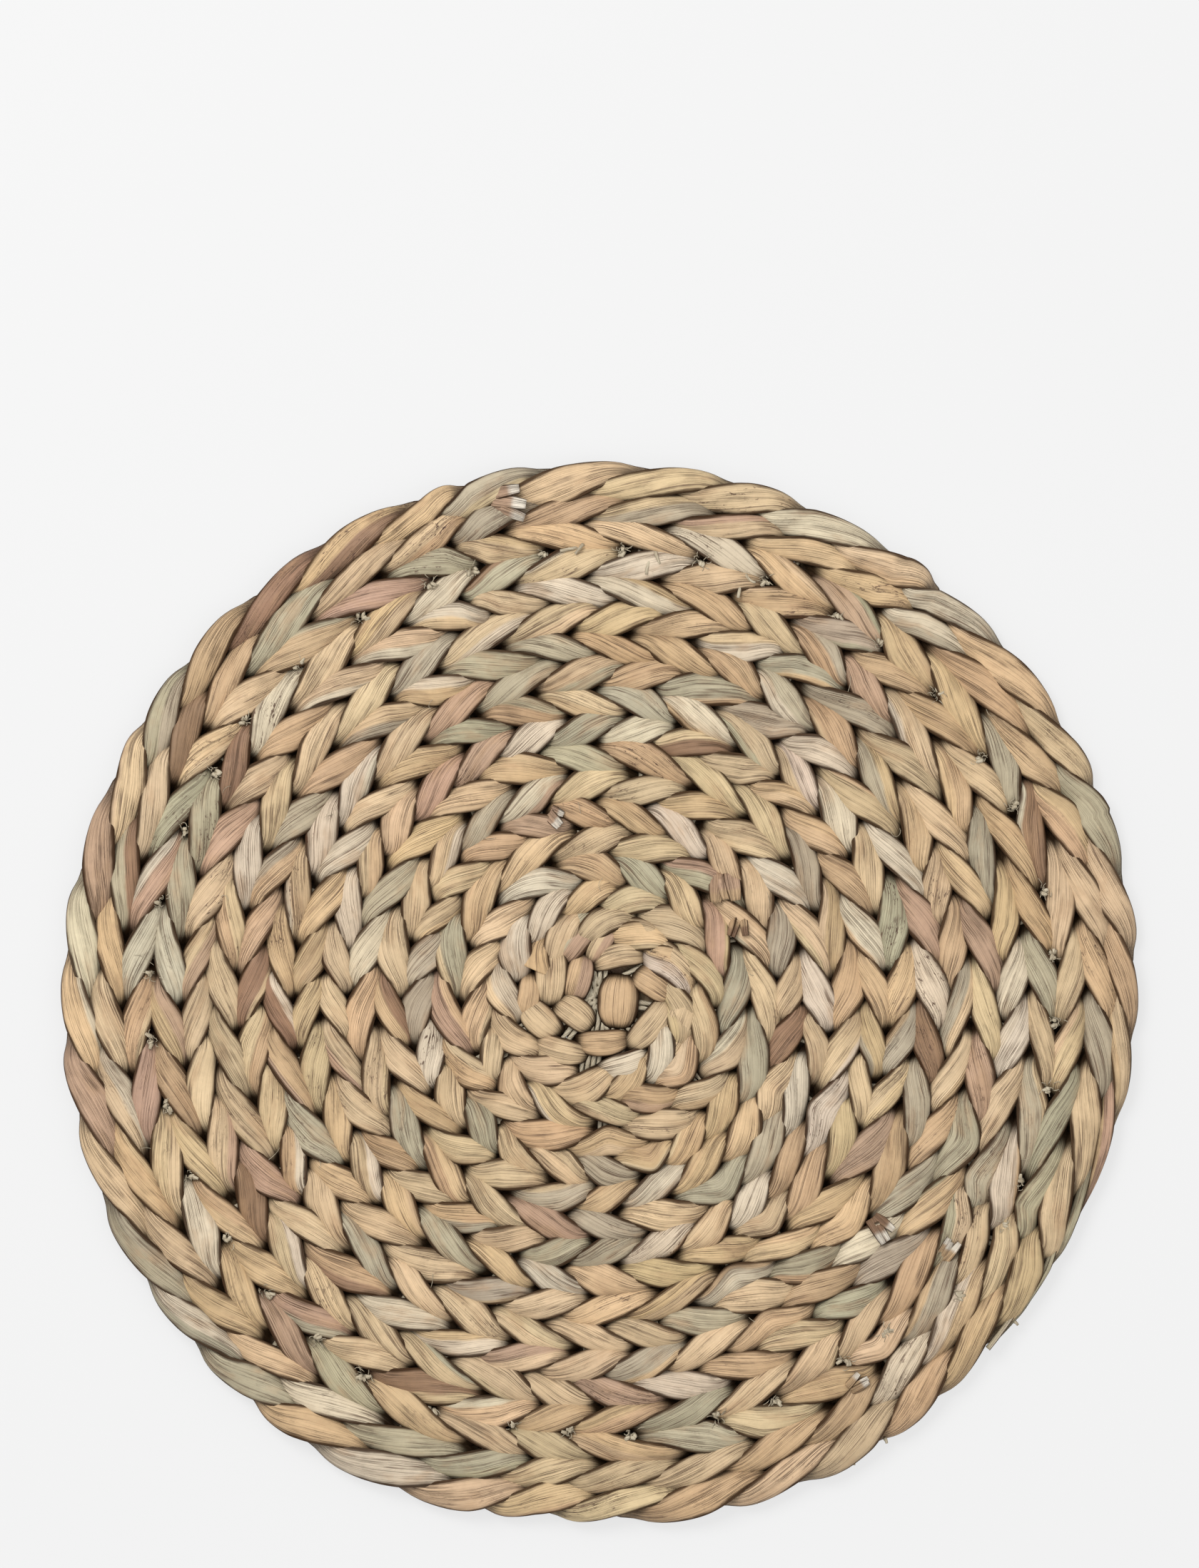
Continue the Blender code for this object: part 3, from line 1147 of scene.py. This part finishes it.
@dataclass(frozen=True)
class MiddleLeaf:
    """A leaf of the first rounds of twining. Its middle is at x and y; sizes are in millimetres."""

    x: float
    y: float
    degrees: float
    length: float
    width: float
    tone: Tone = Tone.STRAW
    bend: float = 0.0  # how far its middle bows to its left
    raised: float = 0.0


@dataclass
class Middle:
    """The first rounds of twining, where the leaves are short and broad and lie every way."""

    weavers: Weavers
    leaves: tuple[MiddleLeaf, ...] = (
        MiddleLeaf(6.6, -3.2, 86, 19.5, 13.6, Tone.TAN, 0.3, 0.5),
        MiddleLeaf(-9.0, -7.6, -38, 16.0, 10.0, Tone.STRAW, 0.8, 0.3),
        MiddleLeaf(0.9, -16.6, 4, 19.0, 8.6, Tone.TAN, -1.0),
        MiddleLeaf(6.6, 11.2, 12, 19.5, 8.2, Tone.STRAW, 1.8),
        MiddleLeaf(-7.7, 5.4, 76, 17.5, 9.2, Tone.TAN, -0.4),
        MiddleLeaf(-17.6, 6.6, 88, 23.5, 10.8, Tone.STRAW, -0.6, 0.4),
        MiddleLeaf(-20.6, -9.2, -44, 17.5, 10.4, Tone.STRAW, -0.5, 0.1),
        MiddleLeaf(18.6, 2.6, -34, 16.5, 10.2, Tone.TAN, 0.8, 0.1),
        MiddleLeaf(16.6, -10.8, 50, 23.0, 9.4, Tone.STRAW, -1.2, 0.2),
        MiddleLeaf(-13.6, -19.6, -14, 20.0, 9.0, Tone.STRAW, -0.8, 0.2),
        MiddleLeaf(24.0, 10.4, -38, 24.0, 9.4, Tone.STRAW, 1.2, 0.4),
        MiddleLeaf(1.2, 17.4, 58, 18.0, 7.4, Tone.STRAW, 0.8, -0.3),
        MiddleLeaf(13.4, 20.8, -8, 17.0, 8.2, Tone.STRAW, 0.8),
        MiddleLeaf(-7.4, 19.6, 52, 22.0, 11.2, Tone.GREEN, 1.0, 0.4),
        MiddleLeaf(26.8, -9.8, 70, 19.0, 9.6, Tone.STRAW, -0.6, 0.1),
        MiddleLeaf(8.2, -24.6, 16, 20.0, 9.2, Tone.PALE, -1.2, 0.1),
        MiddleLeaf(-25.6, -1.2, 82, 17.0, 7.8, Tone.TAN, -0.8, -0.3),
        MiddleLeaf(21.4, -20.6, 44, 21.0, 8.6, Tone.STRAW, -1.0),
    )
    # Leaves of the underside that close the gaps between the good side's; they are dark brown, painted shade
    # in the gaps.
    shade_backing: tuple[MiddleLeaf, ...] = (
        MiddleLeaf(0.4, -14.4, 4, 24.0, 12.0, Tone.BROWN),
        MiddleLeaf(-6.0, -24.0, -10, 22.0, 11.0, Tone.BROWN),
        MiddleLeaf(-1.0, 2.0, 85, 26.0, 12.0, Tone.BROWN),
    )
    steps: int = 26
    # Heights in millimetres: of a leaf's middle on the good side and underneath, and of its ends.
    top: float = 7.5
    under: float = 1.5
    ends: float = 3.9
    seed: int = 31

    def chain(
        self, leaf: MiddleLeaf, peak: float, side: int, rng: np.random.Generator
    ) -> dict[str, np.ndarray]:
        """A leaf's guide values.

        Args:
            leaf: the leaf.
            peak: the height of its middle, in millimetres.
            side: 1 to lay it where it says, or -1 on the far side of the mat's middle.
            rng: the piece's random numbers.

        Returns:
            The values at every step along it.
        """
        along = np.linspace(-1, 1, self.steps)
        ones = np.ones(self.steps)
        angle = math.radians(leaf.degrees)
        ahead = np.array((math.cos(angle), math.sin(angle), 0.0))
        right = np.cross(ahead, UP)
        height = self.ends + (peak - self.ends) * (1 - np.abs(along) ** 3.2)
        middle = np.array((leaf.x, leaf.y, 0.0)) * side - right * (leaf.bend * (1 - along**2))[:, None]
        axis = middle + ahead * (along * leaf.length / 2)[:, None] + UP * height[:, None]
        narrow = 1 - 0.46 * np.abs(along + rng.normal(0, 0.08)) ** 2.7
        tone = np.array(leaf.tone.value) * rng.normal(1, 0.05)
        return {
            "axis": axis * MM,
            "outward": np.tile(right, (self.steps, 1)),
            "roll": ones * rng.normal(0, 0.07),
            "half_width": leaf.width / 2 * narrow * 1.07 * MM,
            "half_depth": ones * 1.15 * MM,
            "along": along * leaf.length / 2 * MM + rng.uniform(0, 0.6),
            "folds": ones * rng.uniform(0.5, 1.6),
            "crossing": np.abs(along) ** 3,
            "seed": ones * rng.uniform(0, 40),
            "seam": ones * (NO_SEAM if rng.random() < 0.7 else rng.uniform(-0.6, 0.6)),
            "spots": ones * (0.8 if rng.random() < 0.12 else 0.1),
            "tint": with_alpha(np.tile(tone, (self.steps, 1))),
            "second": with_alpha(np.tile(Tone.PINK.value, (self.steps, 1))),
        }

    def build(self, material: bpy.types.Material) -> bpy.types.Object:
        """Makes the middle's leaves, on the good side and on the underside.

        Args:
            material: the stems' finish.

        Returns:
            The one piece that holds them.
        """
        rng, guide = np.random.default_rng(self.seed), Guide()
        for leaf in self.leaves:
            guide.add(**self.chain(leaf, self.top + leaf.raised, 1, rng))
            guide.add(**self.chain(leaf, self.under, -1, rng))
        for leaf in self.shade_backing:
            guide.add(**self.chain(leaf, self.under, 1, rng))
        return self.weavers.builder(material).grow("middle_leaves", guide, self.weavers.keep)


@dataclass(frozen=True)
class CutEnd:
    """A stem's end that sticks out of the weave, at x and y in millimetres from the mat's middle."""

    x: float
    y: float
    degrees: float
    length: float
    half_width: float
    tone: Tone
    cut: Tone
    height: float  # of its tip


@dataclass
class CutEnds:
    """The torn ends of stems where the maker joined a new one, each in a few strips."""

    weavers: Weavers
    points: int = 12  # along a strip
    strips: int = 3
    ends: tuple[CutEnd, ...] = (
        CutEnd(-37.5, 171.0, -8, 12.5, 4.2, Tone.PINK, Tone.PITH, 10.6),
        CutEnd(94.5, -78.0, -55, 10.0, 2.8, Tone.BROWN, Tone.PITH, 10.0),
        CutEnd(118.5, -92.5, 58, 9.0, 2.5, Tone.TAN, Tone.PITH, 10.0),
        CutEnd(-17.5, 62.5, -35, 6.0, 2.6, Tone.PINK, Tone.PITH, 9.9),
        CutEnd(86.5, -137.5, 40, 8.0, 2.4, Tone.TAN, Tone.PITH, 10.0),
        CutEnd(43.0, 41.5, -92, 10.5, 4.8, Tone.PINK, Tone.TAN, 10.6),
        CutEnd(48.0, 27.5, -100, 10.0, 2.6, Tone.TAN, Tone.BROWN, 10.0),
    )
    seed: int = 3

    def build(self, material: bpy.types.Material) -> bpy.types.Object:
        """Makes the ends.

        Args:
            material: the stems' finish.

        Returns:
            The one piece that holds them.
        """
        rng, guide = np.random.default_rng(self.seed), Guide()
        strips = [(end, strip) for end in self.ends for strip in np.linspace(-1, 1, self.strips)]
        for end, strip in strips:
            share = np.linspace(0, 1, self.points)
            ones = np.ones(self.points)
            angle = math.radians(end.degrees + rng.normal(0, 5) - 7 * strip)
            ahead = np.array((math.cos(angle), math.sin(angle), 0.0))
            length = end.length * rng.uniform(0.72, 1.04)
            arc = (end.height - 2.6 * (1 - share) ** 2 * (end.length / 9) + rng.normal(0, 0.2)) * MM
            right = np.cross(ahead, UP)
            root = np.array((end.x, end.y, 0.0)) * MM + right * strip * end.half_width * 0.5 * MM
            axis = root + ahead * (share * length * MM)[:, None] + UP * arc[:, None]
            cut = smoothstep((share - rng.uniform(0.45, 0.62)) / 0.16)[:, None]
            guide.add(
                axis=axis,
                outward=np.tile(right, (self.points, 1)),
                roll=ones * rng.normal(0, 0.25) + 0.25 * strip,
                half_width=end.half_width * MM * (0.62 - 0.20 * share**2),
                half_depth=0.0005 * ones,
                along=share * length * MM + rng.uniform(0, 0.5),
                folds=ones,
                crossing=ones * 0.3,
                seed=ones * rng.uniform(0, 40),
                seam=ones * NO_SEAM,
                spots=ones * 0.5,
                tint=with_alpha(np.array(end.tone.value) * (1 - cut) + np.array(end.cut.value) * cut),
                second=with_alpha(np.tile(end.cut.value, (self.points, 1))),
            )
        return self.weavers.builder(material).grow("cut_ends", guide, self.weavers.keep)


@dataclass
class LooseEnds:
    """The cords' cut ends between the third and fourth row, and stray fibres."""

    spokes: Spokes
    groove: int = 3
    gap_place: float = 0.28  # from a spoke to the gap where the leaves' tips meet, in spokes
    # Where the longer ends come out, in millimetres, and their directions in degrees.
    long_ends: tuple[tuple[float, float, float], ...] = (
        (17.8, 152.5, 255.0),
        (49.0, 144.5, 265.0),
        (-6.4, 155.0, 200.0),
    )
    rim_ends: tuple[float, ...] = (287.0, 299.0, 303.0, 322.0)  # their angles, in degrees
    hair_count: int = 26
    step: float = 0.0008
    # Radii: of the cords' cut ends, of the fibres in a tuft, of the longer ends and of stray fibres.
    tuft_radius: float = 0.0008
    fibre_radius: float = 0.00015
    end_radius: float = 0.0007
    hair_radius: float = 0.00010
    seed: int = 9

    def __post_init__(self) -> None:
        """Starts the piece's own random numbers."""
        self.rng = np.random.default_rng(self.seed)

    def bent(
        self, start: np.ndarray, heading: float, length: float, curl: float, top: float, radius: float
    ) -> tuple[np.ndarray, float]:
        """A loose end: it comes up out of the weave and lies down on it.

        Args:
            start: where it comes out.
            heading: its direction in degrees.
            length: its length.
            curl: how much it wanders, in radians.
            top: the height that it rises to.
            radius: its radius.

        Returns:
            Its points, from the start on, and its radius.
        """
        rng = self.rng
        steps = max(4, round(length / self.step))
        share = np.linspace(0, 1, steps)
        turn = math.radians(heading) + curl * (share * rng.normal(0, 1) + share**2 * rng.normal(0, 0.8))
        stride = length / (steps - 1)
        flat = np.cumsum(np.stack([np.cos(turn), np.sin(turn)], axis=1) * stride, axis=0)
        rise = np.sin(np.minimum(share * 0.0045 / length * 2, 1.0) * math.pi / 2)
        height = start[2] + (top + rng.uniform(-0.0004, 0.0004) - start[2]) * rise
        return np.column_stack([start[0] + flat[:, 0], start[1] + flat[:, 1], height]), radius

    def tufts(self) -> list[tuple[np.ndarray, float]]:
        """The cut ends of the spokes' cords, with their frayed fibres.

        Returns:
            Each end's points and radius.
        """
        spiral, rng, made = self.spokes.spiral, self.rng, []
        for index in range(spiral.spoke_counts[0]):
            radii, angles = self.spokes.crossings(index)
            reach = (radii[self.groove - 1] + radii[self.groove]) / 2
            degrees = (angles[self.groove - 1] + angles[self.groove]) / 2
            degrees += self.gap_place * 360 / spiral.spoke_counts[0]
            outward = spiral.outward(np.array(degrees))
            middle = np.array((*spiral.centre, 0.0056)) + outward * reach
            way = degrees + rng.choice((0, 180))
            for _ in range(rng.integers(3, 5)):
                start = middle + np.array((*rng.normal(0, 0.0005, 2), 0.0006))
                length = rng.uniform(0.0012, 0.0025)
                heading = way + rng.normal(0, 42)
                made.append(self.bent(start, heading, length, 0.3, 0.0086, self.tuft_radius))
            for _ in range(rng.integers(8, 15)):
                start = middle + np.array((*rng.normal(0, 0.0008, 2), 0.0012))
                length = rng.uniform(0.0012, 0.0032)
                heading = way + rng.normal(0, 80)
                made.append(self.bent(start, heading, length, 1.2, 0.0090, self.fibre_radius))
        return made

    def strays(self) -> list[tuple[np.ndarray, float]]:
        """The longer ends, the ends at the rim and the stray fibres.

        Returns:
            Each end's points and radius.
        """
        spiral, rng, made = self.spokes.spiral, self.rng, []
        for x, y, heading in self.long_ends:
            start = np.array((x * MM, y * MM, 0.0066))
            made.append(self.bent(start, heading, 0.0068, 0.2, 0.0092, self.end_radius))
            beside = self.bent(start + 0.0012, heading + 25, 0.0045, 0.4, 0.0092, 0.0006)
            made.append(beside)
        for degrees in self.rim_ends:
            outward = spiral.outward(np.array(degrees))
            start = np.array((*spiral.centre, 0.0052)) + outward * 0.1815
            heading, length = degrees + rng.normal(0, 20), rng.uniform(0.0022, 0.0030)
            made.append(self.bent(start, heading, length, 0.3, 0.005, self.end_radius))
        for _ in range(self.hair_count):
            degrees, reach = rng.uniform(0, 360), 0.17 * math.sqrt(rng.uniform(0.02, 1))
            start = np.array((*spiral.centre, 0.0070)) + spiral.outward(np.array(degrees)) * reach
            heading, length = rng.uniform(0, 360), rng.uniform(0.005, 0.013)
            made.append(self.bent(start, heading, length, 1.3, 0.0093, self.hair_radius))
        return made

    def build(self, material: bpy.types.Material) -> bpy.types.Object:
        """Makes the loose ends.

        Args:
            material: the cords' finish.

        Returns:
            The one piece that holds them.
        """
        guide = Guide()
        for points, radius in [*self.tufts(), *self.strays()]:
            share = np.linspace(0, 1, len(points))
            guide.add(
                axis=points,
                along=share * len(points) * self.step,
                thick=radius * (1.1 - 0.35 * share),
                seed=np.full(len(points), self.rng.uniform(0, 40)),
            )
        return self.spokes.builder(material).grow("loose_ends", guide, self.spokes.keep)


@dataclass
class Studio:
    """A plain pale floor, soft light, and the camera straight above."""

    picture_width: int = 1680
    picture_height: int = 2197
    pixel: float = 0.0002477  # one pixel of the picture on the mat, in metres
    mat_middle: tuple[float, float] = (841.0, 1390.5)  # of the mat's box, in pixels of the picture
    camera_height: float = 2.2
    focus_height: float = 0.006
    sensor: float = 36.0
    floor_size: float = 12.0
    floor_drop: float = 0.0002  # so that it doesn't lie in the mat's underside
    floor_glow: float = 0.685
    surroundings: float = 0.70

    def camera(self) -> None:
        """Sets up the camera, which looks straight down."""
        data = bpy.data.cameras.new("camera")
        data.sensor_width = self.sensor
        tall = self.picture_height * self.pixel
        data.lens = self.sensor * (self.camera_height - self.focus_height) / tall
        data.clip_start = 0.05
        made = bpy.data.objects.new("camera", data)
        x = (self.picture_width / 2 - self.mat_middle[0]) * self.pixel
        y = (self.mat_middle[1] - self.picture_height / 2) * self.pixel
        made.location = (x, y, self.camera_height)
        bpy.context.scene.collection.objects.link(made)
        bpy.context.scene.camera = made

    def light(self, name: str, place: tuple[float, float, float], size: float, power: float) -> None:
        """Hangs an area light that points at the mat.

        Args:
            name: the light's name.
            place: where it stands.
            size: its width.
            power: its power in watts.
        """
        data = bpy.data.lights.new(name, "AREA")
        data.size, data.energy = size, power
        made = bpy.data.objects.new(name, data)
        made.location = place
        made.rotation_euler = (-Vector(place)).to_track_quat("-Z", "Y").to_euler()
        bpy.context.scene.collection.objects.link(made)

    def floor(self) -> None:
        """Lays the floor, pale and nearly free of shadow."""
        mesh = bpy.data.meshes.new("floor")
        half = self.floor_size / 2
        corners = [(-half, -half, 0), (half, -half, 0), (half, half, 0), (-half, half, 0)]
        mesh.from_pydata(corners, [], [(0, 1, 2, 3)])
        made = bpy.data.objects.new("floor", mesh)
        made.location.z = -self.floor_drop
        s = Shader("floor", (0.9, 0.9, 0.9), 0.9)
        s.surface.inputs["Base Color"].default_value = (0.16, 0.16, 0.16, 1.0)
        s.surface.inputs["Specular IOR Level"].default_value = 0.0
        s.surface.inputs["Emission Color"].default_value = (1.0, 1.0, 1.0, 1.0)
        s.surface.inputs["Emission Strength"].default_value = self.floor_glow
        mesh.materials.append(s.material)
        bpy.context.scene.collection.objects.link(made)

    def world(self) -> None:
        """Sets up even light from all round."""
        world = bpy.data.worlds.new("studio")
        world.use_nodes = True
        background = world.node_tree.nodes["Background"]
        background.inputs["Color"].default_value = (1.0, 1.0, 1.0, 1.0)
        background.inputs["Strength"].default_value = self.surroundings
        bpy.context.scene.world = world

    def build(self) -> None:
        """Sets up everything round the mat."""
        self.camera()
        self.world()
        self.light("key", (-0.7, 0.9, 1.5), 0.9, 25.5)
        self.light("fill", (0.9, -0.6, 1.4), 1.6, 6.0)
        self.floor()
        bpy.context.scene.view_settings.view_transform = "Standard"


@dataclass(frozen=True)
class Ring:
    """The flat ring of the mat that a stretch of stem covers."""

    inner_radius: float
    outer_radius: float

    @property
    def across(self) -> float:
        """The ring's width from rim to rim."""
        return 2 * self.outer_radius

    @property
    def area(self) -> float:
        """The ring's flat area in square metres."""
        return math.pi * (self.outer_radius**2 - self.inner_radius**2)


def main() -> None:
    """Builds the mat and its studio, and puts every piece on the frame."""
    logging.basicConfig(level=logging.INFO, format="%(name)s %(message)s")
    Studio().build()
    spiral = Spiral()
    stem, cord = StemFinish().material(), CordFinish().material()
    weavers, spokes = Weavers(spiral), Spokes(spiral)
    stems = weavers.build(stem)
    # The outer pieces of stem end at this distance from the middle, and the inner ones start there.
    parting = spiral.edge_radius - spiral.pitch * (weavers.split_row + spiral.first_turn)
    outer, inner = Ring(parting, spiral.edge_radius - RIM_INSET), Ring(FIRST_ROW_RADIUS, parting)
    middle = Middle(weavers).build(stem)
    extras = (middle, spokes.build(cord), CutEnds(weavers).build(stem), LooseEnds(spokes).build(cord))
    for piece in (*stems, *extras):
        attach(piece, "root")
    for piece, zone in zip(stems, (outer, inner, outer, inner)):
        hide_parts("mat")


if __name__ == "__main__":
    main()
